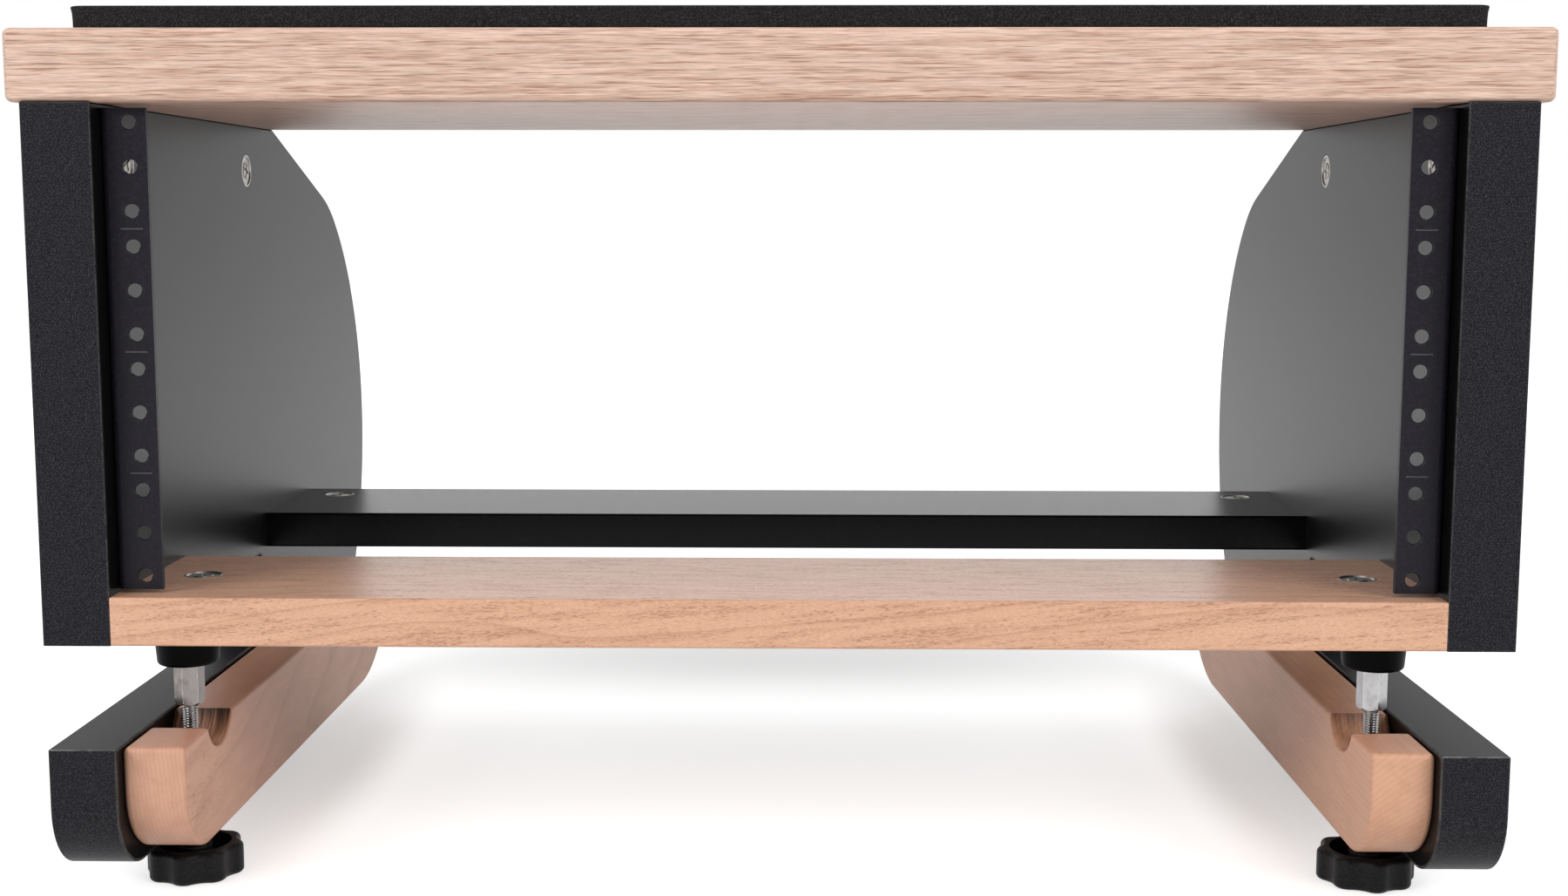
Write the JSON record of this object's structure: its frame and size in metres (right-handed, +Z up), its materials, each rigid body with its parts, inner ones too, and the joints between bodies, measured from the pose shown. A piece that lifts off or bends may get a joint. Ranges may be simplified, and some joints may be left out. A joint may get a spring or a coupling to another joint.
{
  "type": "studio equipment rack",
  "caption": "Desk-clamping studio rack with C-shaped black side panels, wooden top, shelf and clamp rails, drilled steel rack rails and star-knob clamp screws.",
  "frame": {"origin": "on the floor that the knobs stand on, below the middle of the outline", "axes": "+X to the right as seen from the front, +Y from the front to the rear, +Z up"},
  "size_m": [0.547, 0.404, 0.3327],
  "materials": {
    "oak": "oiled pale oak",
    "beech": "oiled beech",
    "black_laminate": "satin black laminate on particle board",
    "edging": "pebbled black edging",
    "mat": "matt black foam rubber",
    "rack_steel": "satin black powder coat",
    "zinc": "bright zinc plate",
    "nickel": "nickel plate",
    "brass": "plain brass",
    "black_plastic": "moulded black"
  },
  "bodies": {
    "rack": {"top_board": "oak", "top_mat": "mat", "bottom_shelf": "beech", "rear_crossbar": "black_laminate", "rack_rail_screws": "zinc", "top_cam_locks": "nickel", "top_cam_bolts": "zinc", "shelf_cam_locks": "nickel", "shelf_cam_bolts": "zinc", "crossbar_cam_locks": "nickel", "crossbar_cam_bolts": "zinc", "top_dowels": "beech", "shelf_dowels": "beech", "crossbar_dowels": "beech", "clamp_rail_screws": "zinc", "left_side_panel": "black_laminate", "left_panel_edging": "edging", "left_rack_rail": "rack_steel", "left_clamp_rail": "beech", "left_thread_insert": "brass", "right_side_panel": "black_laminate", "right_panel_edging": "edging", "right_rack_rail": "rack_steel", "right_clamp_rail": "beech", "right_thread_insert": "brass"},
    "left_pad": {"left_clamp_pad": "black_plastic"},
    "left_screw": {"left_pad_stud": "zinc", "left_coupling_nut": "zinc", "left_threaded_rod": "zinc", "left_knob": "black_plastic"},
    "right_pad": {"right_clamp_pad": "black_plastic"},
    "right_screw": {"right_pad_stud": "zinc", "right_coupling_nut": "zinc", "right_threaded_rod": "zinc", "right_knob": "black_plastic"}
  },
  "joints": [
    {"name": "left_clamp_travel", "type": "slide", "parent": "rack", "child": "left_pad", "axis": [0, 0, 1], "range_m": [-0.01501, 0]},
    {"name": "left_clamp_turn", "type": "hinge", "parent": "left_pad", "child": "left_screw", "pos_m": [-0.23125, -0.1515, 0.05], "axis": [0, 0, 1], "range_deg": [-5400, 0]},
    {"name": "right_clamp_travel", "type": "slide", "parent": "rack", "child": "right_pad", "axis": [0, 0, 1], "range_m": [-0.01501, 0]},
    {"name": "right_clamp_turn", "type": "hinge", "parent": "right_pad", "child": "right_screw", "pos_m": [0.23125, -0.1515, 0.05], "axis": [0, 0, 1], "range_deg": [-5400, 0]}
  ],
  "couplings": [
    {"joint": "left_clamp_travel", "follows": "left_clamp_turn", "m_per_rad": 0.00015915},
    {"joint": "right_clamp_travel", "follows": "right_clamp_turn", "m_per_rad": 0.00015915}
  ]
}
